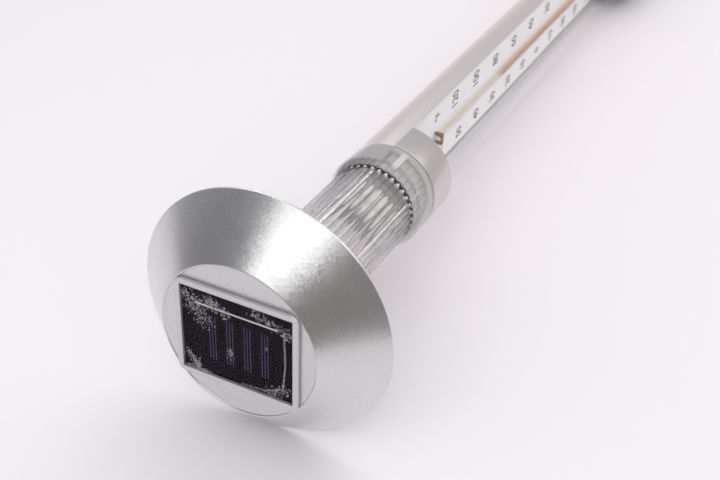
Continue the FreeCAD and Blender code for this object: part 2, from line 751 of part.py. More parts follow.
def make_leads():
    """Solid leads: from the LED, the panel, the battery bay and the switch to the driver board."""
    board_top = size(DRIVER_TOP)
    board_bottom = size(DRIVER_BOTTOM)
    led_top = size(f"{BASE_TOP} + led_flange")
    led_pitch = 1.27
    leads("led_leads", [[(0, y, led_top), (0, y, (led_top + board_bottom) / 2), (0, y, board_bottom)]
                        for y in (-led_pitch, led_pitch)], 0.25)
    panel_under = size(PAD_TOP)
    leads("solar_leads", [[(x, 5, panel_under), (x * 1.6, 6, panel_under - 4), (x * 1.6, 9, board_top + 3),
                           (x, 12, board_top)] for x in (-3, 3)], 0.5)
    roof_y = size("-battery_offset")
    roof_top = size(f"{BATTERY_Z} + bay_radius + bay_wall")
    leads("battery_leads", [[(x, roof_y, roof_top), (x, roof_y + 6, roof_top + 3), (x, -12, roof_top + 0.5),
                             (x, -5, board_top)] for x in (-14, 14)], 0.5)
    switch_top = size(f"{BASE_TOP} + switch_height")
    switch_y = size("switch_offset")
    leads("switch_leads", [[(x, switch_y, switch_top), (x, switch_y - 3, switch_top + 5),
                            (x, 28, board_top + 5), (x, 20.5, board_top + 3.5), (x, 19, board_top)]
                           for x in (-2, 2)], 0.5)


# ---- lens and the parts that hold it -------------------------------------------------------------------

def make_fluted_lens():
    """Clear tube with round flutes outside and a plain bore."""
    body = new_body("fluted_lens")
    length = f"{BASE_BOTTOM} - {LENS_BOTTOM}"
    core = new_sketch(body, "lens_core", "XY_Plane", LENS_BOTTOM)
    circle(core, "lens_root")
    pad(body, core, length)
    flute = new_sketch(body, "lens_flute", "XY_Plane", LENS_BOTTOM)
    circle(flute, "flute_radius", "lens_radius - flute_radius", "0")
    polar(body, pad(body, flute, length), "flute_count")
    bore = new_sketch(body, "lens_bore_outline", "XY_Plane", BASE_BOTTOM)
    circle(bore, "lens_bore")
    pocket(body, bore, f"{length} + 1")
    return node(body, "fluted_lens")


def make_reflector_cup():
    """Pale cup in the foot of the lens: skirt, flat top and a cone that spreads the light."""
    outer = "(lens_bore - plug_play)"
    inner = f"({outer} - cup_wall)"
    disc = "(sleeve_top + cup_rise)"
    return node(turned("reflector_cup", [
        ("0", f"{disc} - cup_floor"),
        (inner, f"{disc} - cup_floor"),
        (inner, f"{disc} - cup_skirt"),
        (outer, f"{disc} - cup_skirt"),
        (outer, disc),
        ("cup_cone_radius", disc),
        ("0", f"{disc} + cup_cone"),
    ]), "reflector_cup")


def make_lens_sleeve():
    """Clear ring round the foot of the lens: straight wall, tapered mouth with a lip, and a key inside."""
    inner = "(sleeve_radius - sleeve_wall)"
    bore = "(lens_radius + fit_gap)"
    body = turned("lens_sleeve", [
        (bore, "sleeve_top"),
        (bore, "sleeve_top - sleeve_lip"),
        (inner, SLEEVE_SHOULDER),
        (inner, "sleeve_bottom"),
        ("sleeve_radius", "sleeve_bottom"),
        ("sleeve_radius", "sleeve_top - sleeve_taper"),
        ("sleeve_mouth", "sleeve_top"),
    ], start="key_start")
    key = new_sketch(body, "sleeve_key", "XZ_Plane")
    polygon(key, [
        (f"{bore} + key_play", SLEEVE_SHOULDER),
        (f"{bore} + key_play", f"{LENS_BOTTOM} + key_rise"),
        (f"{inner} + key_bite", f"{LENS_BOTTOM} + key_rise"),
        (f"{inner} + key_bite", SLEEVE_SHOULDER),
    ])
    revolve(body, key, "key_sweep")
    return node(body, "lens_sleeve")


def make_window_band():
    """Silver half ring that covers the top of the window below the sleeve."""
    return node(turned("window_band", [
        (SHELL_INNER, "band_bottom"),
        ("sleeve_radius", "band_bottom"),
        ("sleeve_radius", "sleeve_bottom"),
        (SHELL_INNER, "sleeve_bottom"),
    ], angle="band_sweep", start="shell_start - (180 + band_sweep) / 2"), "window_band")


def make_tube_cap():
    """Joins tube and lens: a plug in the tube, a flange between them and a spigot in the lens."""
    bore = f"({SPIGOT_RADIUS} - joiner_wall)"
    plug_bottom = "(tube_top - plug_length)"
    body = turned("tube_cap", [
        ("0", LENS_BOTTOM),
        (bore, LENS_BOTTOM),
        (bore, f"{LENS_BOTTOM} + joiner_spigot"),
        (SPIGOT_RADIUS, f"{LENS_BOTTOM} + joiner_spigot"),
        (SPIGOT_RADIUS, LENS_BOTTOM),
        ("tube_radius", LENS_BOTTOM),
        ("tube_radius", "tube_top"),
        (PLUG_RADIUS, "tube_top"),
        (PLUG_RADIUS, plug_bottom),
        ("0", plug_bottom),
    ])
    slot = new_sketch(body, "card_slot", "XY_Plane", plug_bottom)
    rectangle(slot, *CARD_SLOT)
    pocket(body, slot, f"card_top - {plug_bottom} + fit_gap", up=True)
    return node(body, "tube_cap")


# ---- pole and thermometer ------------------------------------------------------------------------------

def make_pole():
    node(turned("clear_tube", [
        (TUBE_BORE, "tube_bottom"),
        ("tube_radius", "tube_bottom"),
        ("tube_radius", "tube_top"),
        (TUBE_BORE, "tube_top"),
    ]), "clear_tube")
    shell_top = f"({SLEEVE_SHOULDER} - fit_gap)"
    node(turned("half_shell", [
        (SHELL_INNER, "tube_bottom"),
        (SHELL_OUTER, "tube_bottom"),
        (SHELL_OUTER, shell_top),
        (SHELL_INNER, shell_top),
    ], angle="180", start="shell_start"), "half_shell")


def make_thermometer():
    """Card, coloured backing strip, glass capillary with its bulb, the spirit inside it and two clips."""
    middle = "card_front - card_thickness / 2"
    node(slab("scale_card", "card_thickness", "card_width", "card_top - card_bottom", middle, "0",
              "card_bottom"), "scale_card")
    strip_bottom = "(plug_top + 0.5)"
    node(slab("backing_strip", "backing_thickness", "backing_width", f"glass_top - {strip_bottom}",
              "card_front + backing_thickness / 2", "0", strip_bottom), "backing_strip")
    hollow_radius = "bulb_radius - bulb_wall"
    stem = rod("glass_stem", "glass_radius", "glass_top - bulb_level", GLASS_X, "0", "bulb_level")
    bulb = ball("glass_bulb", "bulb_radius", GLASS_X, "0", "bulb_level")
    bore = rod("glass_room", "glass_bore", "glass_top - 2 - bulb_level", GLASS_X, "0", "bulb_level")
    hollow = ball("glass_hollow", hollow_radius, GLASS_X, "0", "bulb_level")
    node(minus("capillary", union("glass_stock", [stem, bulb]), [bore, hollow]), "capillary")
    column = rod("spirit_thread", "glass_bore", "spirit_top - bulb_level", GLASS_X, "0", "bulb_level")
    pool = ball("spirit_pool", hollow_radius, GLASS_X, "0", "bulb_level")
    node(union("spirit", [column, pool]), "spirit")
    node(group("capillary_clips", [make_clip("upper", "glass_top - 5"), make_clip("lower", "plug_top + 14")]),
         "capillary_clips")


def make_clip(name, level):
    """A strap over the glass, cut away round the glass and the backing strip."""
    depth = "(backing_thickness + 2 * glass_radius + clip_front)"
    strap = slab(f"{name}_strap", depth, "backing_width + 2 * clip_side", "clip_height",
                 f"card_front + {depth} / 2", "0", level)
    tunnel_depth = "(backing_thickness + glass_radius + 2)"
    below = f"{level} - 1"
    tunnel = slab(f"{name}_tunnel", tunnel_depth, "backing_width + 2 * fit_gap", "clip_height + 2",
                  f"card_front - 2 + {tunnel_depth} / 2", "0", below)
    bore = rod(f"{name}_bore", "glass_radius + fit_gap / 2", "clip_height + 2", GLASS_X, "0", below)
    return minus(f"{name}_clip", strap, [tunnel, bore])


# ---- ground end ----------------------------------------------------------------------------------------

def make_ground_socket():
    """Black socket: cup round the tube's foot, plug inside it, well for the bulb, bore for the spike."""
    stub_room = "(stub_radius + hinge_play)"
    cup_bore = f"({SHELL_OUTER} + plug_play)"
    ceiling = "(flange_thickness + stub_length + 0.5)"
    body = turned("ground_socket", [
        (stub_room, "flange_thickness"),
        ("socket_radius", "flange_thickness"),
        ("socket_radius", "socket_top"),
        (cup_bore, "socket_top"),
        (cup_bore, "tube_bottom"),
        (PLUG_RADIUS, "tube_bottom"),
        (PLUG_RADIUS, "plug_top"),
        ("0", "plug_top"),
        ("0", ceiling),
        (stub_room, ceiling),
    ])
    slot = new_sketch(body, "socket_slot", "XY_Plane", "plug_top")
    rectangle(slot, *CARD_SLOT)
    pocket(body, slot, "plug_top - card_bottom + fit_gap")
    well = new_sketch(body, "bulb_well", "XY_Plane", "plug_top")
    circle(well, "bulb_radius + 0.5", GLASS_X, "0")
    pocket(body, well, "plug_top - bulb_level + bulb_radius + 0.5")
    return node(body, "ground_socket")


def make_ground_spike():
    """Spike with four tapering blades, a flange that stops it at the ground and a stub for the socket."""
    body = turned("ground_spike", [
        ("0", "0"),
        ("socket_radius", "0"),
        ("socket_radius", "flange_thickness"),
        ("stub_radius", "flange_thickness"),
        ("stub_radius", "flange_thickness + stub_length - 1"),
        ("stub_radius - 1", "flange_thickness + stub_length"),
        ("0", "flange_thickness + stub_length"),
    ])
    blade = new_sketch(body, "spike_blade", "XZ_Plane")
    polygon(blade, [
        ("0", "1"),
        ("spike_radius", "1"),
        ("spike_radius", "-spike_shoulder"),
        ("spike_tip", "-spike_length"),
        ("0", "-spike_length"),
    ])
    polar(body, pad(body, blade, "blade_thickness", midplane=True), "4")
    return node(body, "ground_spike")


# ---- build, check and write ----------------------------------------------------------------------------

def build():
    make_cap_shell()
    make_panel_bezel()
    make_panel_gasket()
    make_solar_panel()
    make_head_base()
    make_screws()
    make_battery_door()
    make_battery()
    make_switch()
    make_electronics()
    make_leads()
    make_fluted_lens()
    make_reflector_cup()
    make_lens_sleeve()
    make_window_band()
    make_tube_cap()
    make_pole()
    make_thermometer()
    make_ground_socket()
    make_ground_spike()
    DOCUMENT.recompute()


def check():
    for item in DOCUMENT.Objects:
        if "Invalid" in item.State or "Error" in item.State:
            raise RuntimeError(f"{item.Label} failed: {item.State}")
    for item in NODES:
        if item.Shape.isNull() or not item.Shape.isValid() or not item.Shape.Solids:
            raise RuntimeError(f"{item.Label} has no valid solid")


def write():
    os.makedirs("parts", exist_ok=True)
    for item in NODES:
        item.Shape.exportStep(f"parts/{item.Label}.step")
        box = item.Shape.BoundBox
        print(f"{item.Label:18s} solids {len(item.Shape.Solids):3d}  volume {item.Shape.Volume:10.1f}  "
              f"z {box.ZMin:7.2f} to {box.ZMax:7.2f}")


build()
check()
write()
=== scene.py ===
import math

import bpy
from mathutils import Matrix, Vector


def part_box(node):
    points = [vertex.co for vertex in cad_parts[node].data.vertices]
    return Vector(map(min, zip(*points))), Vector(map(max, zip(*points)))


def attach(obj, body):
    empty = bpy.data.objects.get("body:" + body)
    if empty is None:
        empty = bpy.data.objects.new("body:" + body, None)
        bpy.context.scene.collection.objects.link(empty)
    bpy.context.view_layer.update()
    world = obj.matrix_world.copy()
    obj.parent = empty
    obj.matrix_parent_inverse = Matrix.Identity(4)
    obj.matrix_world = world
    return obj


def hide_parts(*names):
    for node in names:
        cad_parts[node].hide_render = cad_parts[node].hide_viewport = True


# Looks for the solar garden light. Lengths are metres, in the part's own frame: +Z runs up the pole, the
# origin is at ground level, and +X is the side the thermometer is read from.

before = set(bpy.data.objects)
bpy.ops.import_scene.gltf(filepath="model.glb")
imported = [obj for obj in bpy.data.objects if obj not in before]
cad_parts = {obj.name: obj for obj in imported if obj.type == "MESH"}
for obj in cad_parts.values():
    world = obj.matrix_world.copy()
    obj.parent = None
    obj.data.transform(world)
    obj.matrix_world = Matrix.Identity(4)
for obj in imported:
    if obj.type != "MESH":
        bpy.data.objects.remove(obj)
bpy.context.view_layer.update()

MM = 0.001
TAU = 2 * math.pi


# ---- places taken from the frame -----------------------------------------------------------------------

def low(node):
    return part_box(node)[0]


def high(node):
    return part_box(node)[1]


RIM_RADIUS = high("cap_shell").x
LIP = 1.0 * MM
RIM_Z = low("cap_shell").z + LIP
BEAD = 0.35 * MM
PLATEAU_Z = high("cap_shell").z - BEAD
PLATEAU_RADIUS = 38.9 * MM
SHEET = 1.0 * MM
FLUTES = 36
LENS_RADIUS = high("fluted_lens").x
LENS_LOW, LENS_HIGH = low("fluted_lens").z, high("fluted_lens").z
SLEEVE_RADIUS = high("lens_sleeve").x
SLEEVE_LOW, SLEEVE_HIGH = low("lens_sleeve").z, high("lens_sleeve").z
BAND_LOW, BAND_HIGH = low("window_band").z, high("window_band").z
TUBE_RADIUS = high("clear_tube").x
TUBE_LOW, TUBE_HIGH = low("clear_tube").z, high("clear_tube").z
SHELL_LOW, SHELL_HIGH = low("half_shell").z, high("half_shell").z
SHELL_RADIUS = -low("half_shell").x
SHELL_START = math.radians(86)
SHELL_WALL = 0.5 * MM
CARD_FRONT = high("scale_card").x
SOCKET_RADIUS = high("ground_socket").x


# ---- mesh helpers --------------------------------------------------------------------------------------

def new_object(name, vertices, faces, smooth_angle=40):
    mesh = bpy.data.meshes.new(name)
    mesh.from_pydata([tuple(v) for v in vertices], [], faces)
    mesh.validate()
    mesh.update()
    for face in mesh.polygons:
        face.use_smooth = True
    mesh.set_sharp_from_angle(angle=math.radians(smooth_angle))
    item = bpy.data.objects.new(name, mesh)
    bpy.context.scene.collection.objects.link(item)
    return item


def round_corners(outline, steps=4):
    """The closed outline with each (x, y, radius) corner replaced by an arc of that radius."""
    result = []
    count = len(outline)
    for index, (x, y, radius) in enumerate(outline):
        corner = Vector((x, y))
        before = Vector(outline[index - 1][:2]) - corner
        after = Vector(outline[(index + 1) % count][:2]) - corner
        if radius <= 0:
            result.append((x, y))
            continue
        half = before.angle(after) / 2
        reach = min(radius / math.tan(half), 0.49 * before.length, 0.49 * after.length)
        start, end = corner + before.normalized() * reach, corner + after.normalized() * reach
        for step in range(steps + 1):
            t = step / steps
            blend = start * (1 - t) ** 2 + corner * 2 * t * (1 - t) + end * t ** 2
            result.append((blend.x, blend.y))
    return result


def lathe(name, outline, segments=192, start=0.0, sweep=TAU, smooth_angle=40):
    """Turns a closed (radius, height) outline about Z. A part turn gets flat ends."""
    whole = abs(sweep - TAU) < 1e-6
    rings = segments if whole else segments + 1
    count = len(outline)
    vertices = []
    for ring in range(rings):
        angle = start + sweep * ring / segments
        vertices += [(r * math.cos(angle), r * math.sin(angle), z) for r, z in outline]
    faces = []
    for ring in range(segments):
        here, there = ring * count, (ring + 1) % rings * count
        for index in range(count):
            after = (index + 1) % count
            faces.append((here + index, there + index, there + after, here + after))
    if not whole:
        faces.append(tuple(range(count)))
        faces.append(tuple((rings - 1) * count + index for index in reversed(range(count))))
    return new_object(name, vertices, faces, smooth_angle)


def prism(name, outline, bottom, top):
    """A closed (x, y) outline raised from bottom to top."""
    count = len(outline)
    vertices = [(x, y, bottom) for x, y in outline] + [(x, y, top) for x, y in outline]
    faces = [(i, (i + 1) % count, count + (i + 1) % count, count + i) for i in range(count)]
    faces += [tuple(reversed(range(count))), tuple(range(count, 2 * count))]
    return new_object(name, vertices, faces)


def soften(item, width, segments=2):
    """Rounds the item's sharp edges with a bevel that leaves its stored mesh as it is."""
    sharp = math.radians(35)
    bevel = item.modifiers.new("edge_rounding", "BEVEL")
    bevel.width = width
    bevel.segments = segments
    bevel.limit_method = "ANGLE"
    bevel.angle_limit = sharp


def cut_away(item, cutter, smooth_angle=30):
    """Takes the cutter's volume out of the item for good, and marks its sharp edges again."""
    boolean = item.modifiers.new("cut_away", "BOOLEAN")
    boolean.object = cutter
    boolean.solver = "EXACT"
    bpy.context.view_layer.update()
    mesh = bpy.data.meshes.new_from_object(item.evaluated_get(bpy.context.evaluated_depsgraph_get()))
    for face in mesh.polygons:
        face.use_smooth = True
    mesh.set_sharp_from_angle(angle=math.radians(smooth_angle))
    item.modifiers.clear()
    item.data = mesh
    bpy.data.objects.remove(cutter)


def join(name, items):
    """One object made of the items' meshes, each moved by its own matrix; the items are removed."""
    vertices, faces = [], []
    for item in items:
        offset = len(vertices)
        vertices += [item.matrix_world @ v.co for v in item.data.vertices]
        faces += [tuple(offset + i for i in face.vertices) for face in item.data.polygons]
        bpy.data.objects.remove(item)
    return new_object(name, vertices, faces)


# ---- material helpers ----------------------------------------------------------------------------------

class Shader:
    """A small wrapper round one material's node tree."""

    def __init__(self, name):
        self.material = bpy.data.materials.new(name)
        self.material.use_nodes = True
        self.tree = self.material.node_tree
        self.tree.nodes.clear()
        self.output = self.add("ShaderNodeOutputMaterial")
        self.place = self.add("ShaderNodeTexCoord").outputs["Object"]

    def add(self, kind, **values):
        item = self.tree.nodes.new(kind)
        for key, value in values.items():
            if hasattr(item, key):
                setattr(item, key, value)
            else:
                self.feed(item.inputs[key.replace("_", " ")], value)
        return item

    def feed(self, socket, value):
        if isinstance(value, bpy.types.NodeSocket):
            self.tree.links.new(value, socket)
        else:
            socket.default_value = value

    def math(self, operation, a, b=0.0, clamp=False):
        item = self.add("ShaderNodeMath", operation=operation, use_clamp=clamp)
        self.feed(item.inputs[0], a)
        self.feed(item.inputs[1], b)
        return item.outputs[0]

    def scaled(self, x, y=None, z=None):
        """The object's coordinates multiplied by x, y, z (per metre)."""
        y, z = x if y is None else y, x if z is None else z
        item = self.add("ShaderNodeMapping")
        self.feed(item.inputs["Vector"], self.place)
        self.feed(item.inputs["Scale"], (x, y, z))
        return item.outputs[0]

    def noise(self, vector, detail=3.0, roughness=0.55):
        item = self.add("ShaderNodeTexNoise")
        self.feed(item.inputs["Vector"], vector)
        self.feed(item.inputs["Scale"], 1.0)
        self.feed(item.inputs["Detail"], detail)
        self.feed(item.inputs["Roughness"], roughness)
        return item.outputs["Fac"]

    def cells(self, vector):
        """A random colour in each cell of a Voronoi pattern."""
        item = self.add("ShaderNodeTexVoronoi")
        self.feed(item.inputs["Vector"], vector)
        self.feed(item.inputs["Scale"], 1.0)
        return item.outputs["Color"]

    def remap(self, value, from_low, from_high, to_low=0.0, to_high=1.0):
        item = self.add("ShaderNodeMapRange")
        for socket, number in zip(item.inputs[:5], (value, from_low, from_high, to_low, to_high)):
            self.feed(socket, number)
        return item.outputs[0]

    def mix(self, factor, first, second):
        item = self.add("ShaderNodeMix", data_type="RGBA")
        self.feed(item.inputs[0], factor)
        self.feed(item.inputs[6], first)
        self.feed(item.inputs[7], second)
        return item.outputs[2]

    def bump(self, height, distance, strength=1.0):
        item = self.add("ShaderNodeBump")
        self.feed(item.inputs["Height"], height)
        self.feed(item.inputs["Distance"], distance)
        self.feed(item.inputs["Strength"], strength)
        return item.outputs[0]

    def vector(self, operation, a, b=None, scale=None, output=0):
        item = self.add("ShaderNodeVectorMath", operation=operation)
        self.feed(item.inputs[0], a)
        if b is not None:
            self.feed(item.inputs[1], b)
        if scale is not None:
            self.feed(item.inputs["Scale"], scale)
        return item.outputs[output]

    def tip(self, normal, colour, strength):
        """The normal tipped a little by a random colour, as flakes in paint do."""
        centred = self.vector("SUBTRACT", colour, (0.5, 0.5, 0.5))
        offset = self.vector("SCALE", centred, scale=strength)
        return self.vector("NORMALIZE", self.vector("ADD", normal, offset))

    def split(self):
        item = self.add("ShaderNodeSeparateXYZ")
        self.feed(item.inputs[0], self.place)
        return item.outputs

    def stroke(self, start, end, width):
        """One near the line from start to end on the XY plane, falling to zero at width from it (mm)."""
        start, end = Vector((*start, 0)) * MM, Vector((*end, 0)) * MM
        run = end - start
        flat = self.vector("MULTIPLY", self.place, (1, 1, 0))
        reach = self.vector("SUBTRACT", flat, start)
        along = self.vector("DOT_PRODUCT", reach, run / run.length_squared, output=1)
        part = self.math("ADD", along, 0.0, clamp=True)
        nearest = self.vector("SCALE", run, scale=part)
        gap = self.vector("LENGTH", self.vector("SUBTRACT", reach, nearest), output=1)
        return self.remap(gap, width * MM, 0.0)

    def strokes(self, parts):
        """The strongest of several strokes, each a (start, end, width)."""
        strongest = self.stroke(*parts[0])
        for part in parts[1:]:
            strongest = self.math("MAXIMUM", strongest, self.stroke(*part))
        return strongest

    def fresnel(self, ior=1.49):
        """Schlick's reflectance, the same from both sides of a thin wall."""
        surface = self.add("ShaderNodeNewGeometry").outputs
        product = self.vector("DOT_PRODUCT", surface["Normal"], surface["Incoming"], output=1)
        facing = self.math("ABSOLUTE", product)
        grazing = self.math("POWER", self.math("SUBTRACT", 1.0, facing, clamp=True), 5.0)
        head_on = ((ior - 1) / (ior + 1)) ** 2
        return self.remap(grazing, 0.0, 1.0, head_on, 1.0)

    def principled(self, **values):
        item = self.add("ShaderNodeBsdfPrincipled")
        for key, value in values.items():
            self.feed(item.inputs[key.replace("_", " ")], value)
        return item.outputs[0]

    def blend(self, factor, first, second):
        item = self.add("ShaderNodeMixShader")
        for socket, value in zip(item.inputs, (factor, first, second)):
            self.feed(socket, value)
        return item.outputs[0]

    def finish(self, surface):
        self.feed(self.output.inputs["Surface"], surface)
        return self.material


def grey(value, warm=0.0):
    """An RGBA grey; warm above zero leans to brown, below zero to blue."""
    return (value * (1 + warm), value, value * (1 - warm), 1.0)


def shade(colour, factor):
    """The colour made darker by the factor."""
    return [channel * factor for channel in colour[:3]] + [1]


def assign(node, material):
    """Gives a CAD piece its material."""
    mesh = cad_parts[node].data
    mesh.materials.clear()
    mesh.materials.append(material)


def fit_piece(item, material, body, node=None):
    """Gives a made piece its material, slot and body. With a node's name it stands in for that CAD piece."""
    item.data.materials.clear()
    item.data.materials.append(material)
    if node is not None:
        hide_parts(node)
    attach(item, body)


# ---- materials -----------------------------------------------------------------------------------------

def metallic_paint(name, base, roughness, sparkle, metallic=0.92):
    """Silver lacquer: tiny flakes tip the normal and vary the tone, and slow mottling varies the gloss."""
    shader = Shader(name)
    normal = shader.add("ShaderNodeNewGeometry").outputs["Normal"]
    for grain, strength in ((5200, sparkle), (1700, 0.45 * sparkle)):
        normal = shader.tip(normal, shader.cells(shader.scaled(grain)), strength)
    mottle = shader.noise(shader.scaled(120), detail=4)
    fleck = shader.vector("DOT_PRODUCT", shader.cells(shader.scaled(3200)), (0.5, 0.3, 0.2), output=1)
    tone = shader.mix(shader.remap(fleck, 0.25, 0.75), shade(base, 0.84), base)
    rough = shader.remap(mottle, 0.2, 0.8, roughness * 0.9, roughness * 1.12)
    surface = shader.principled(Base_Color=tone, Metallic=metallic, Roughness=rough, Normal=normal,
                                Coat_Weight=0.25, Coat_Roughness=0.12)
    return shader.finish(surface)


def satin_metal(name, base, roughness, inside=None, shaded_above=None):
    """Drawn metal with faint streaks along the pole. Closer to the axis than the inside radius it is white,
    painted light standing in for the light the curved metal throws about inside it; above the given level,
    behind the sleeve, its colour is darkened as painted shade."""
    shader = Shader(name)
    streaks = shader.noise(shader.scaled(2600, 2600, 22), detail=5, roughness=0.7)
    tone = shader.mix(shader.remap(streaks, 0.3, 0.7), shade(base, 0.975), base)
    if shaded_above is not None:
        # Painted shade: behind the sleeve the colour falls to 0.40 of the base.
        above = shader.math("GREATER_THAN", shader.split()["Z"], shaded_above)
        tone = shader.mix(above, tone, shade(base, 0.40))
    rough = shader.remap(streaks, 0.25, 0.75, roughness * 0.95, roughness * 1.08)
    normal = shader.bump(streaks, 0.002 * MM, 0.2)
    surface = shader.principled(Base_Color=tone, Metallic=0.9, Roughness=rough, Normal=normal,
                                Anisotropic=0.35)
    if inside is not None:
        # Painted light: the inner face is white, standing in for light reflected inside the curved shell.
        flat = shader.vector("MULTIPLY", shader.place, (1, 1, 0))
        painted_light_mask = shader.math("LESS_THAN", shader.vector("LENGTH", flat, output=1), inside)
        white = shader.principled(Base_Color=(0.92, 0.91, 0.92, 1), Roughness=0.5)
        surface = shader.blend(painted_light_mask, surface, white)
    return shader.finish(surface)


def moulded_plastic(name, base, roughness, grain=0.02):
    """Moulded plastic: fine spark-eroded grain, its depth in mm, and a slow change of tone."""
    shader = Shader(name)
    fine = shader.noise(shader.scaled(3500), detail=4, roughness=0.6)
    slow = shader.noise(shader.scaled(60), detail=3)
    tone = shader.mix(shader.remap(slow, 0.3, 0.7), shade(base, 0.92), base)
    rough = shader.remap(slow, 0.2, 0.8, roughness * 0.9, roughness * 1.15)
    normal = shader.bump(fine, grain * MM, 0.6)
    return shader.finish(shader.principled(Base_Color=tone, Roughness=rough, Normal=normal))


def clear_wall(name, tint, haze=0.06, marks=0.3, shine=1.0):
    """Thin clear plastic wall, tinted and see-through. Haze is its dull share, marks are how much the scuffs
    roughen it, and shine scales its reflections."""
    shader = Shader(name)
    polish, scuffed = 0.04, 0.04 + 0.15 * marks
    scuffs = shader.noise(shader.scaled(500, 500, 60), detail=6, roughness=0.75)
    rough = shader.remap(scuffs, 0.4, 0.8, polish, scuffed)
    see_through = shader.add("ShaderNodeBsdfTransparent", Color=tint).outputs[0]
    mist = shader.add("ShaderNodeBsdfDiffuse", Color=(0.93, 0.925, 0.93, 1)).outputs[0]
    body = shader.blend(shader.remap(scuffs, 0.35, 0.75, haze * 0.85, haze * 1.2), see_through, mist)
    gloss = shader.add("ShaderNodeBsdfGlossy", Color=(1, 1, 1, 1)).outputs[0]
    shader.feed(gloss.node.inputs["Roughness"], rough)
    return shader.finish(shader.blend(shader.math("MULTIPLY", shader.fresnel(), shine), body, gloss))


def lens_plastic(name, foot):
    """Thick moulded clear plastic. Shadow rays pass, so what is inside stays lit. At the foot painted shade
    makes a black ring that rises between the flutes, each flute has a painted highlight above it, and
    painted shade darkens the valleys between."""
    shader = Shader(name)
    ripple = shader.noise(shader.scaled(140, 140, 40), detail=3)
    tint = (1, 0.998, 0.996, 1)
    glass = shader.add("ShaderNodeBsdfGlass", IOR=1.40, Color=tint)
    shader.feed(glass.inputs["Roughness"], 0.0)
    shader.feed(glass.inputs["Normal"], shader.bump(ripple, 0.01 * MM, 0.3))
    clear = shader.add("ShaderNodeBsdfTransparent", Color=tint).outputs[0]
    thin = shader.blend(0.18, glass.outputs[0], clear)
    shadow = shader.add("ShaderNodeLightPath").outputs["Is Shadow Ray"]
    body = shader.blend(shadow, thin, clear)
    place = shader.split()
    angle = shader.math("ARCTAN2", place["Y"], place["X"])
    wave = shader.math("COSINE", shader.math("MULTIPLY", angle, float(FLUTES)))
    height = shader.math("SUBTRACT", place["Z"], foot)
    above_foot = shader.remap(height, -0.2 * MM, 0.0)
    # Painted shade: black at the foot, where the gap by the sleeve gets no light.
    foot_shade_band = shader.math("MULTIPLY", above_foot, shader.remap(height, 1.9 * MM, 1.5 * MM))
    closed = shader.math("MAXIMUM", shader.remap(wave, 0.85, 0.45), shader.remap(height, 0.9 * MM, 0.7 * MM))
    gap = shader.math("MULTIPLY", foot_shade_band, closed)
    # Painted highlight: a white band just above the shade on each flute's crown.
    above_foot_shade = shader.remap(height, 1.6 * MM, 1.9 * MM)
    glint_band = shader.math("MULTIPLY", above_foot_shade, shader.remap(height, 3.0 * MM, 2.6 * MM))
    glint = shader.math("MULTIPLY", glint_band, shader.remap(wave, 0.2, 0.6))
    # Painted shade: a grey tint in the valleys between flutes stands in for the dark lines the flutes make
    # by refraction.
    valley_shade = shader.math("MULTIPLY", shader.remap(wave, -0.955, -0.99), 0.40)
    valley_shade_tint = shader.add("ShaderNodeBsdfTransparent", Color=(0.25, 0.24, 0.26, 1)).outputs[0]
    body = shader.blend(valley_shade, body, valley_shade_tint)
    # Colour of the painted shade at the foot.
    dark = shader.principled(Base_Color=(0.012, 0.011, 0.013, 1), Roughness=0.3)
    # Colour of the painted highlight.
    bright = shader.principled(Base_Color=(0.95, 0.95, 0.96, 1), Roughness=0.2)
    return shader.finish(shader.blend(glint, shader.blend(gap, body, dark), bright))


def printed_card(name):
    """White coated card with faint fibres."""
    shader = Shader(name)
    fibre = shader.noise(shader.scaled(900), detail=6, roughness=0.7)
    tone = shader.mix(shader.remap(fibre, 0.35, 0.65), grey(0.88, 0.004), grey(0.93, 0.004))
    return shader.finish(shader.principled(Base_Color=tone, Roughness=0.5,
                                           Normal=shader.bump(fibre, 0.01 * MM, 0.5)))


def printing_ink(name, colour):
    shader = Shader(name)
    wear = shader.noise(shader.scaled(2500), detail=5, roughness=0.7)
    tone = shader.mix(shader.remap(wear, 0.45, 0.75, 0, 0.35), colour, grey(0.6))
    return shader.finish(shader.principled(Base_Color=tone, Roughness=0.45))


def solid_gloss(name, base, roughness=0.25, variation=0.12, metallic=0.0):
    """Lacquered, soldered or liquid surfaces: gloss with small clouds of tone."""
    shader = Shader(name)
    cloud = shader.noise(shader.scaled(700), detail=4)
    tone = shader.mix(shader.remap(cloud, 0.3, 0.7), shade(base, 1 - variation), base)
    rough = shader.remap(cloud, 0.2, 0.8, roughness * 0.8, roughness * 1.3)
    return shader.finish(shader.principled(Base_Color=tone, Roughness=rough, Metallic=metallic,
                                           Normal=shader.bump(cloud, 0.01 * MM, 0.4)))


# ---- camera, light and floor ---------------------------------------------------------------------------

def stage_axes():
    """The axes of the floor that the light lies on: its normal, and the pole's line along it."""
    tilt = math.atan2(RIM_RADIUS - SOCKET_RADIUS, RIM_Z - low("ground_socket").z)
    normal = Vector((0, math.cos(tilt), math.sin(tilt)))
    along = Vector((0, -math.sin(tilt), math.cos(tilt)))
    return normal, along


NORMAL, ALONG = stage_axes()
SIDE = Vector((1, 0, 0))


def direction(heading, elevation):
    """A unit vector: elevation above the floor, heading from the pole's line towards +X, in degrees."""
    turn, rise = math.radians(heading), math.radians(elevation)
    level = ALONG * math.cos(turn) + SIDE * math.sin(turn)
    return level * math.cos(rise) + NORMAL * math.sin(rise)


def look_matrix(place, back, up):
    right = up.cross(back).normalized()
    level = back.cross(right).normalized()
    rotation = Matrix((right, level, back)).transposed()
    return Matrix.Translation(place) @ rotation.to_4x4()


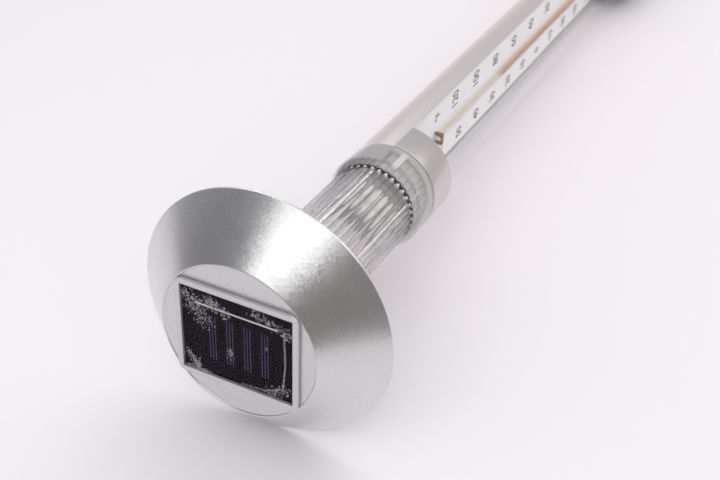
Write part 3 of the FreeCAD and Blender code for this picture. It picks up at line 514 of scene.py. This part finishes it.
# The photograph's camera: the point it looks at, the way back from there to it, and its upward direction.
AIM = Vector((0, -0.224 * RIM_RADIUS, RIM_Z - 1.464 * RIM_RADIUS))
CAMERA_BACK = Vector((0.36505, 0.55919, 0.74434)).normalized()
CAMERA_UP = Vector((-0.28020, 0.82844, -0.48495))
CAMERA_DISTANCE = 9.54 * RIM_RADIUS
FOCUS_DISTANCE = 9.0 * RIM_RADIUS


def make_focus_point():
    """A point beside the fluted lens, on the camera's axis. A moved camera still focuses on it."""
    point = bpy.data.objects.new("focus_point", None)
    point.location = AIM + CAMERA_BACK * (CAMERA_DISTANCE - FOCUS_DISTANCE)
    bpy.context.scene.collection.objects.link(point)
    return point


def make_camera():
    data = bpy.data.cameras.new("camera")
    data.sensor_width = 36
    data.lens = 59.475
    data.clip_start = 0.01
    data.clip_end = 50
    data.dof.use_dof = True
    data.dof.focus_object = make_focus_point()
    data.dof.aperture_fstop = 15
    camera = bpy.data.objects.new("camera", data)
    camera.matrix_world = look_matrix(AIM + CAMERA_BACK * CAMERA_DISTANCE, CAMERA_BACK, CAMERA_UP)
    bpy.context.scene.collection.objects.link(camera)
    bpy.context.scene.camera = camera


def make_floor():
    """A pale sheet under the object, seen only from above, so that views from below look through it."""
    clearance = 0.3 * MM
    point = Vector((0, -RIM_RADIUS - clearance, RIM_Z))
    west, east, far, near = -1.5, 0.26, -1.6, 0.22
    edges = ((west, far), (west, near), (east, near), (east, far))
    corners = [point + SIDE * a + ALONG * b for a, b in edges]
    floor = new_object("floor", corners, [(0, 1, 2, 3)])
    shader = Shader("floor_sheet")
    slow = shader.noise(shader.scaled(1.6), detail=2)
    fine = shader.noise(shader.scaled(260), detail=5)
    tone = shader.mix(slow, (0.83, 0.795, 0.82, 1), (0.87, 0.84, 0.865, 1))
    sheet = shader.principled(Base_Color=tone, Roughness=0.55, Normal=shader.bump(fine, 0.02 * MM, 0.2))
    back = shader.add("ShaderNodeNewGeometry").outputs["Backfacing"]
    clear = shader.add("ShaderNodeBsdfTransparent").outputs[0]
    floor.data.materials.append(shader.finish(shader.blend(back, sheet, clear)))


def softbox(name, heading, elevation, distance, size, radiance, colour=(1, 1, 1), down_pole=1.0):
    """A rectangular light that faces a point on the pole's axis, down_pole rim radii below the rim; radiance
    is how bright its front looks."""
    width, height = size
    data = bpy.data.lights.new(name, "AREA")
    data.shape = "RECTANGLE"
    data.size, data.size_y = width, height
    data.energy = radiance * math.pi * width * height
    data.color = colour
    item = bpy.data.objects.new(name, data)
    back = direction(heading, elevation)
    target = Vector((0, 0, RIM_Z - down_pole * RIM_RADIUS))
    item.matrix_world = look_matrix(target + back * distance, back, NORMAL)
    item.visible_transmission = False
    bpy.context.scene.collection.objects.link(item)
    return item


def make_world():
    """Pale where it is looked at, also through clear plastic, and an even dome on dull surfaces. Reflections
    see a dimmer sweep, brightest low down, that is cool on one side and warm on the other."""
    world = bpy.data.worlds.new("studio")
    bpy.context.scene.world = world
    world.use_nodes = True
    tree = world.node_tree
    tree.nodes.clear()
    output = tree.nodes.new("ShaderNodeOutputWorld")
    seen = tree.nodes.new("ShaderNodeBackground")
    seen.inputs["Color"].default_value = (0.90, 0.88, 0.90, 1)
    seen.inputs["Strength"].default_value = 1.0
    lighting = tree.nodes.new("ShaderNodeBackground")
    place = tree.nodes.new("ShaderNodeTexCoord")
    split = tree.nodes.new("ShaderNodeSeparateXYZ")
    tree.links.new(place.outputs["Generated"], split.inputs[0])
    sweep = tree.nodes.new("ShaderNodeMapRange")
    lowest, highest, bright, dim = -0.30, 0.30, 0.62, 0.19
    for socket, number in zip(sweep.inputs[1:5], (lowest, highest, bright, dim)):
        socket.default_value = number
    tree.links.new(split.outputs["Z"], sweep.inputs[0])
    tree.links.new(sweep.outputs[0], lighting.inputs["Strength"])
    side = tree.nodes.new("ShaderNodeMapRange")
    side.inputs["From Min"].default_value = -1
    tree.links.new(split.outputs["X"], side.inputs[0])
    tint = tree.nodes.new("ShaderNodeMix")
    tint.data_type = "RGBA"
    cool, warm = (0.96, 0.95, 1.04, 1), (1.06, 0.96, 0.93, 1)
    tint.inputs[6].default_value = cool
    tint.inputs[7].default_value = warm
    tree.links.new(side.outputs[0], tint.inputs[0])
    tree.links.new(tint.outputs[2], lighting.inputs["Color"])
    dome = tree.nodes.new("ShaderNodeBackground")
    dome.inputs["Color"].default_value = (1.0, 0.985, 1.0, 1)
    dome.inputs["Strength"].default_value = 0.82
    path = tree.nodes.new("ShaderNodeLightPath")
    surface = lighting.outputs[0]
    backgrounds = {"Is Diffuse Ray": dome, "Is Transmission Ray": seen, "Is Camera Ray": seen}
    for kind, background in backgrounds.items():
        mix = tree.nodes.new("ShaderNodeMixShader")
        tree.links.new(path.outputs[kind], mix.inputs[0])
        tree.links.new(surface, mix.inputs[1])
        tree.links.new(background.outputs[0], mix.inputs[2])
        surface = mix.outputs[0]
    tree.links.new(surface, output.inputs["Surface"])


def make_stage():
    make_camera()
    make_floor()
    make_world()
    softbox("key_softbox", heading=8, elevation=48, distance=1.3, size=(0.90, 0.60), radiance=1.85)
    gleams = [
        softbox("top_softbox", heading=-150, elevation=84, distance=1.5, size=(1.4, 1.4), radiance=0.7),
        softbox("right_softbox", heading=120, elevation=48, distance=1.6, size=(1.4, 1.1), radiance=1.9,
                colour=(1.0, 0.985, 0.98)),
        softbox("left_softbox", heading=-122, elevation=50, distance=1.6, size=(1.4, 1.1), radiance=1.6,
                colour=(0.96, 0.98, 1.04)),
    ]
    for gleam in gleams:
        gleam.visible_diffuse = False
    fill = softbox("far_fill", heading=165, elevation=58, distance=1.2, size=(1.2, 1.2), radiance=1.05,
                   down_pole=6.0)
    fill.visible_glossy = False


# ---- lamp head -----------------------------------------------------------------------------------------

def make_cap(paint):
    """The pressed cone with a short lip at its rim, a bead round its flat top and the panel's window."""
    rise = (RIM_RADIUS - PLATEAU_RADIUS) / (PLATEAU_Z - RIM_Z)
    hem = 0.45 * MM
    inset = SHEET * math.hypot(1, rise)
    hole = 10 * MM
    outline = round_corners([
        (hole, PLATEAU_Z, 0),
        (PLATEAU_RADIUS - 0.65 * MM, PLATEAU_Z, 0.3 * MM),
        (PLATEAU_RADIUS - 0.35 * MM, PLATEAU_Z + BEAD, 0.2 * MM),
        (PLATEAU_RADIUS + 0.35 * MM, PLATEAU_Z + BEAD, 0.5 * MM),
        (RIM_RADIUS, RIM_Z, 0.6 * MM),
        (RIM_RADIUS, RIM_Z - LIP, hem),
        (RIM_RADIUS - SHEET, RIM_Z - LIP, hem),
        (RIM_RADIUS - SHEET, RIM_Z - 0.44 * MM, 0.3 * MM),
        (PLATEAU_RADIUS + SHEET * rise - inset, PLATEAU_Z - SHEET, 0.6 * MM),
        (hole, PLATEAU_Z - SHEET, 0),
    ])
    cap = lathe("cap_skin", outline, segments=256, smooth_angle=50)
    half_x, half_y, corner = 29.45 * MM, 24.2 * MM, 3.0 * MM
    signs = ((-1, -1), (1, -1), (1, 1), (-1, 1))
    window = round_corners([(x * half_x, y * half_y, corner) for x, y in signs])
    reach = 5 * MM
    cut_away(cap, prism("cap_window", window, PLATEAU_Z - reach, PLATEAU_Z + reach))
    fit_piece(cap, paint, "head", "cap_shell")


def panel_shader():
    """Clear potting over the black board, with chipped zones, specks and scratches. Places are in mm from
    the panel's middle."""
    shader = Shader("panel_resin_look")
    see_through = shader.add("ShaderNodeBsdfTransparent", Color=(0.9, 0.89, 0.92, 1)).outputs[0]
    gloss = shader.add("ShaderNodeBsdfGlossy", Color=(1, 0.97, 0.98, 1)).outputs[0]
    shader.feed(gloss.node.inputs["Roughness"], 0.10)
    clear = shader.blend(shader.math("MULTIPLY", shader.fresnel(1.5), 0.14), see_through, gloss)
    zone = shader.strokes([
        ((-24, 17), (-16, 8), 7.5),
        ((-15, 18), (-6, 14), 4.5),
        ((-3, -5), (-4, -9), 2.4),
        ((8, 20), (26, 14), 4.0),
        ((17, -21), (24, -17), 4.5),
        ((-25, -15), (-18, -22), 3.2),
    ])
    ragged = shader.remap(shader.noise(shader.scaled(2200), detail=3, roughness=0.7), 0.44, 0.54)
    chip = shader.vector("DOT_PRODUCT", shader.cells(shader.scaled(1500)), (1, 0, 0), output=1)
    sliver = shader.vector("DOT_PRODUCT", shader.cells(shader.scaled(2600, 1100, 1100)), (0, 1, 0), output=1)
    broken = shader.math("MAXIMUM", chip, shader.math("MULTIPLY", sliver, 0.97))
    loose = shader.math("ADD", broken, shader.math("MULTIPLY", zone, 0.20))
    lifted = shader.math("MULTIPLY", shader.remap(loose, 1.0, 1.02), ragged)
    speck = shader.noise(shader.scaled(1500), detail=3, roughness=0.6)
    specks = shader.remap(speck, 0.775, 0.79)
    scratch = shader.strokes([
        ((23.6, 15), (24.2, -2), 0.42),
        ((24.2, -2), (23.0, -16), 0.42),
        ((23.0, -16), (14, -20.5), 0.35),
        ((14, -20.5), (2, -21.4), 0.28),
        ((-25, -13), (-20.5, -21.5), 0.5),
        ((-20.5, -21.5), (-19.5, -15.5), 0.45),
        ((-26.5, -21.5), (-14, -21.9), 0.4),
        ((14.5, 4), (15.4, 2.2), 0.35),
    ])
    lifted = shader.math("MAXIMUM", lifted, shader.math("MULTIPLY", scratch, ragged))
    total = shader.math("MAXIMUM", lifted, shader.math("MULTIPLY", specks, 0.6), clamp=True)
    cloudy = shader.mix(speck, (0.34, 0.32, 0.34, 1), (0.80, 0.77, 0.78, 1))
    dust = shader.principled(Base_Color=cloudy, Roughness=0.65)
    return shader.finish(shader.blend(shader.math("MULTIPLY", total, 0.8), clear, dust))


def under_resin(name, base, second=None, level=0.0):
    """A dull surface seen through the potting; above level on Y it takes the second colour."""
    shader = Shader(name)
    cloud = shader.noise(shader.scaled(300), detail=5)
    tone = shader.mix(cloud, shade(base, 0.6), base)
    if second is not None:
        tone = shader.mix(shader.math("GREATER_THAN", shader.split()["Y"], level), tone, second)
    surface = shader.principled(Base_Color=tone, Roughness=0.6, Specular_IOR_Level=0.05)
    return shader.finish(surface)


def dress_head():
    soften(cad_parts["panel_bezel"], 0.3 * MM, segments=3)
    assign("panel_bezel", metallic_paint("bezel_paint", grey(0.66), 0.34, sparkle=0.03, metallic=0.35))
    assign("panel_gasket", moulded_plastic("gasket_rubber_look", grey(0.66), 0.6))
    assign("solar_board", under_resin("board_look", (0.010, 0.007, 0.008, 1)))
    assign("solar_cells", under_resin("cell_look", (0.010, 0.008, 0.014, 1)))
    cream, violet = (0.93, 0.85, 0.76, 1), (0.15, 0.135, 0.26, 1)
    assign("cell_ribbons", under_resin("ribbon_look", violet, second=cream, level=12.5 * MM))
    assign("panel_resin", panel_shader())
    assign("panel_pad", moulded_plastic("pad_look", grey(0.8), 0.8))


def dress_inside():
    black = moulded_plastic("base_look", grey(0.035), 0.45, grain=0.03)
    for node in ("head_base", "battery_door"):
        soften(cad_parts[node], 0.2 * MM)
        assign(node, black)
    steel = solid_gloss("screw_look", grey(0.62), 0.3, variation=0.15, metallic=1.0)
    for node in ("base_screws", "board_screws", "switch_body"):
        assign(node, steel)
    rubber = moulded_plastic("seal_look", grey(0.03), 0.65)
    assign("lens_seal", rubber)
    assign("battery", solid_gloss("battery_look", (0.05, 0.22, 0.10, 1), 0.3))
    nickel = solid_gloss("contact_look", grey(0.7, 0.03), 0.25, variation=0.1, metallic=1.0)
    for node in ("battery_contacts", "battery_spring", "led_leads"):
        assign(node, nickel)
    assign("switch_slider", moulded_plastic("slider_look", grey(0.03), 0.4))
    assign("circuit_board", solid_gloss("circuit_look", (0.03, 0.16, 0.06, 1), 0.35))
    assign("driver_chip", moulded_plastic("chip_look", grey(0.03), 0.5))
    assign("coil", solid_gloss("coil_look", (0.25, 0.38, 0.22, 1), 0.3))
    assign("led", clear_wall("led_look", (0.96, 0.95, 0.85, 1)))
    lead = solid_gloss("lead_look", (0.5, 0.03, 0.03, 1), 0.4)
    for node in ("solar_leads", "battery_leads", "switch_leads"):
        assign(node, lead)


# ---- lens and its holders ------------------------------------------------------------------------------

def make_lens(material):
    """The fluted tube, with enough points that each flute bends light smoothly."""
    per_flute = 14
    pitch = TAU / FLUTES
    bore = 20.8 * MM
    root = 22.3 * MM
    flute = 1.9 * MM
    centre = LENS_RADIUS - flute
    outer, inner = [], []
    for index in range(FLUTES * per_flute):
        angle = pitch * index / per_flute
        off = (index % per_flute) / per_flute * pitch
        off = min(off, pitch - off)
        across = centre * math.sin(off)
        radius = root
        if across < flute:
            radius = max(root, centre * math.cos(off) + math.sqrt(flute ** 2 - across ** 2))
        outer.append((radius, angle))
        inner.append((bore, angle))
    count = len(outer)
    foot = SLEEVE_HIGH
    levels = (LENS_LOW, foot, foot + 2 * MM, foot + 4 * MM, LENS_HIGH)
    vertices = []
    for ring in (outer, inner):
        for z in levels:
            vertices += [(r * math.cos(a), r * math.sin(a), z) for r, a in ring]
    rows = len(levels)
    faces = []
    for i in range(count):
        j = (i + 1) % count
        for row in range(rows - 1):
            near, far = row * count, (row + 1) * count
            faces.append((near + i, near + j, far + j, far + i))
            near, far = near + rows * count, far + rows * count
            faces.append((near + j, near + i, far + i, far + j))
        bore_foot, top, bore_top = rows * count, (rows - 1) * count, (2 * rows - 1) * count
        faces.append((j, i, bore_foot + i, bore_foot + j))
        faces.append((top + i, top + j, bore_top + j, bore_top + i))
    lens = new_object("lens_flutes", vertices, faces, smooth_angle=38)
    fit_piece(lens, material, "lens_unit", "fluted_lens")


def make_sleeve():
    """The clear ring round the lens's foot, tapered at its mouth, and the key inside it."""
    inner = SLEEVE_RADIUS - 0.8 * MM
    lip = 1.5 * MM
    bore = LENS_RADIUS + 0.1 * MM
    edge = 0.25 * MM
    taper = 2.5 * MM
    mouth = LENS_RADIUS + 1.25 * MM
    shoulder = SLEEVE_HIGH - taper - lip
    outline = round_corners([
        (bore, SLEEVE_HIGH, edge), (bore, SLEEVE_HIGH - lip, 0), (inner, shoulder, 0),
        (inner, SLEEVE_LOW, 0), (SLEEVE_RADIUS, SLEEVE_LOW, edge),
        (SLEEVE_RADIUS, SLEEVE_HIGH - taper, taper), (mouth, SLEEVE_HIGH, edge),
    ])
    ring = lathe("sleeve_ring", outline, segments=160)
    key_inner, key_outer = bore + 0.15 * MM, inner - 0.02 * MM
    key_low = LENS_LOW + 0.5 * MM
    key_start, key_sweep = math.radians(64.5), math.radians(7.5)
    key = lathe("sleeve_key", round_corners([
        (key_inner, shoulder, 0), (key_inner, key_low, 0.2 * MM),
        (key_outer, key_low, 0.2 * MM), (key_outer, shoulder, 0),
    ]), segments=6, start=key_start, sweep=key_sweep)
    tint = (0.99, 0.985, 0.985, 1)
    look = clear_wall("sleeve_look", tint, haze=0.17, marks=0.2, shine=0.8)
    fit_piece(ring, look, "pole", "lens_sleeve")
    fit_piece(key, clear_wall("key_look", tint, haze=0.65), "pole")


def make_band():
    """The silver half ring over the top of the window, a hair short of the half shell's edges."""
    edge = 0.3 * MM
    inner = TUBE_RADIUS + 0.05 * MM
    outline = round_corners([
        (inner, BAND_LOW, 0.1 * MM), (SLEEVE_RADIUS, BAND_LOW, edge),
        (SLEEVE_RADIUS, BAND_HIGH, edge), (inner, BAND_HIGH, 0.1 * MM),
    ])
    sweep, seam = 179, 0.5
    band = lathe("band_skin", outline, segments=96, start=SHELL_START - math.radians(sweep + seam),
                 sweep=math.radians(sweep))
    fit_piece(band, satin_metal("band_look", grey(0.62, 0.015), 0.28), "pole", "window_band")


# ---- pole and thermometer ------------------------------------------------------------------------------

def make_pole():
    """The clear tube all round, and the metal half shell over its back."""
    wall = 1.8 * MM
    edge = 0.3 * MM
    tube = lathe("tube_skin", round_corners([
        (TUBE_RADIUS - wall, TUBE_LOW, edge), (TUBE_RADIUS, TUBE_LOW, edge),
        (TUBE_RADIUS, TUBE_HIGH, edge), (TUBE_RADIUS - wall, TUBE_HIGH, edge),
    ]), segments=160)
    clear = clear_wall("tube_look", (0.998, 0.997, 0.998, 1), haze=0.0, shine=0.28)
    fit_piece(tube, clear, "pole", "clear_tube")
    inner = SHELL_RADIUS - SHELL_WALL
    shell = lathe("shell_skin", round_corners([
        (inner, SHELL_LOW, 0.1 * MM), (SHELL_RADIUS, SHELL_LOW, 0.15 * MM),
        (SHELL_RADIUS, SHELL_HIGH, 0.15 * MM), (inner, SHELL_HIGH, 0.1 * MM),
    ]), segments=120, start=SHELL_START, sweep=math.pi)
    # Inside this radius the shell's inner face gets white painted light.
    painted_light_radius = inner + 0.15 * MM
    metal = satin_metal("shell_look", grey(0.74, 0.05), 0.32, inside=painted_light_radius, shaded_above=SLEEVE_LOW)
    fit_piece(shell, metal, "pole", "half_shell")


CAPITAL_SHARE = 0.70


def text_mesh(words, height, y, z):
    """Flat printed figures on the card's face, upright, centred on y and z. A figure's height is about
    CAPITAL_SHARE of the font's size."""
    curve = bpy.data.curves.new("figure", "FONT")
    curve.body = words
    curve.size = height / CAPITAL_SHARE
    curve.align_x, curve.align_y = "CENTER", "CENTER"
    curve.extrude = 0.03 * MM
    curve.offset = 0.016 * height
    item = bpy.data.objects.new("figure", curve)
    bpy.context.scene.collection.objects.link(item)
    narrow = Matrix.Diagonal((0.66, 1, 1, 1))
    facing = Matrix(((0, 0, 1), (1, 0, 0), (0, 1, 0))).to_4x4()
    item.matrix_world = Matrix.Translation((CARD_FRONT + 0.04 * MM, y, z)) @ facing @ narrow
    bpy.context.view_layer.update()
    mesh = bpy.data.meshes.new_from_object(item.evaluated_get(bpy.context.evaluated_depsgraph_get()))
    solid = bpy.data.objects.new("figure_mesh", mesh)
    solid.matrix_world = item.matrix_world.copy()
    bpy.context.scene.collection.objects.link(solid)
    bpy.data.objects.remove(item)
    return solid


def tick(y_start, y_end, z, thickness):
    """One printed line across the card."""
    x0, x1 = CARD_FRONT, CARD_FRONT + 0.05 * MM
    half = thickness / 2
    corners = [(x, y, v) for x in (x0, x1) for y in (y_start, y_end) for v in (z - half, z + half)]
    faces = [(0, 1, 3, 2), (4, 6, 7, 5), (0, 4, 5, 1), (2, 3, 7, 6), (0, 2, 6, 4), (1, 5, 7, 3)]
    return new_object("tick", corners, faces)


CELSIUS_ZERO = low("scale_card").z + 142 * MM
CELSIUS_STEP = 2.64 * MM
FAHRENHEIT_ZERO = low("scale_card").z + 99 * MM
FAHRENHEIT_STEP = 1.5375 * MM


def celsius_z(degrees):
    return CELSIUS_ZERO + degrees * CELSIUS_STEP


def fahrenheit_z(degrees):
    return FAHRENHEIT_ZERO + degrees * FAHRENHEIT_STEP


def tick_length(degrees, major, middle):
    """Longest at the major steps, shorter at the middle ones and shortest between."""
    if degrees % major == 0:
        return 3.0 * MM
    return 2.2 * MM if degrees % middle == 0 else 1.4 * MM


def make_scale():
    """Two columns of figures and ticks: Celsius on the -Y side of the glass, Fahrenheit on the +Y side."""
    ink = printing_ink("scale_ink_look", (0.02, 0.02, 0.035, 1))
    figures, ticks = [], []
    left, right = -13.5 * MM, 12.2 * MM
    for degrees in range(-40, 51, 10):
        figures.append(text_mesh(str(degrees), 7.2 * MM, left, celsius_z(degrees)))
    for degrees in range(-40, 121, 20):
        figures.append(text_mesh(str(degrees), 7.8 * MM, right, fahrenheit_z(degrees)))
    figures.append(text_mesh("°C", 5.0 * MM, left, celsius_z(60)))
    figures.append(text_mesh("°F", 6.5 * MM, right, fahrenheit_z(136)))
    beside, line = 3.2 * MM, 0.2 * MM
    for degrees in range(-44, 54):
        length = tick_length(degrees, 10, 5)
        ticks.append(tick(-beside - length, -beside, celsius_z(degrees), line))
    for degrees in range(-46, 130, 2):
        length = tick_length(degrees, 20, 10)
        ticks.append(tick(beside, beside + length, fahrenheit_z(degrees), line))
    for name, items in (("scale_figures", figures), ("scale_ticks", ticks)):
        fit_piece(join(name, items), ink, "pole")


def cup_shader():
    """White cone that spreads the light, on a disc made dark grey as painted shade, with a pale skirt."""
    shader = Shader("cup_look")
    cloud = shader.noise(shader.scaled(400), detail=4)
    flat = shader.vector("MULTIPLY", shader.place, (1, 1, 0))
    reach = shader.vector("LENGTH", flat, output=1)
    cone = shader.remap(reach, 12.0 * MM, 11.0 * MM)
    white = shader.mix(cloud, (0.96, 0.955, 0.93, 1), (0.99, 0.985, 0.96, 1))
    # Painted shade: the disc's dark grey stands for the shadow inside the lens, not for a silver finish.
    silver = shader.mix(cloud, grey(0.22, 0.01), grey(0.30, 0.01))
    skirt = shader.remap(reach, 20.3 * MM, 20.6 * MM)
    tone = shader.mix(skirt, shader.mix(cone, silver, white), grey(0.62, 0.01))
    return shader.finish(shader.principled(Base_Color=tone, Roughness=0.3,
                                           Normal=shader.bump(cloud, 0.02 * MM, 0.4)))


def dress_thermometer():
    assign("scale_card", printed_card("card_look"))
    assign("backing_strip", solid_gloss("strip_look", (0.88, 0.76, 0.62, 1), 0.4, variation=0.1))
    assign("capillary", clear_wall("glass_look", (0.97, 0.97, 0.96, 1), haze=0.01))
    assign("spirit", solid_gloss("spirit_look", (0.80, 0.40, 0.27, 1), 0.2, variation=0.1))
    assign("capillary_clips", moulded_plastic("clip_look", (0.26, 0.145, 0.085, 1), 0.5))
    assign("reflector_cup", cup_shader())
    assign("tube_cap", moulded_plastic("joiner_look", grey(0.62, 0.02), 0.4))


def dress_ground_end():
    black = moulded_plastic("socket_look", grey(0.03), 0.45, grain=0.035)
    for node in ("ground_socket", "ground_spike"):
        soften(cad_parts[node], 0.5 * MM)
        assign(node, black)


# ---- put together --------------------------------------------------------------------------------------

make_stage()
silver = metallic_paint("cap_paint", grey(0.78), 0.29, sparkle=0.10)
make_cap(silver)
dress_head()
dress_inside()
make_lens(lens_plastic("lens_look", SLEEVE_HIGH))
make_sleeve()
make_band()
make_pole()
make_scale()
dress_thermometer()
dress_ground_end()

scene = bpy.context.scene
scene.view_settings.view_transform = "Standard"
scene.cycles.transparent_max_bounces = 32
scene.cycles.max_bounces = 16
scene.cycles.transmission_bounces = 16
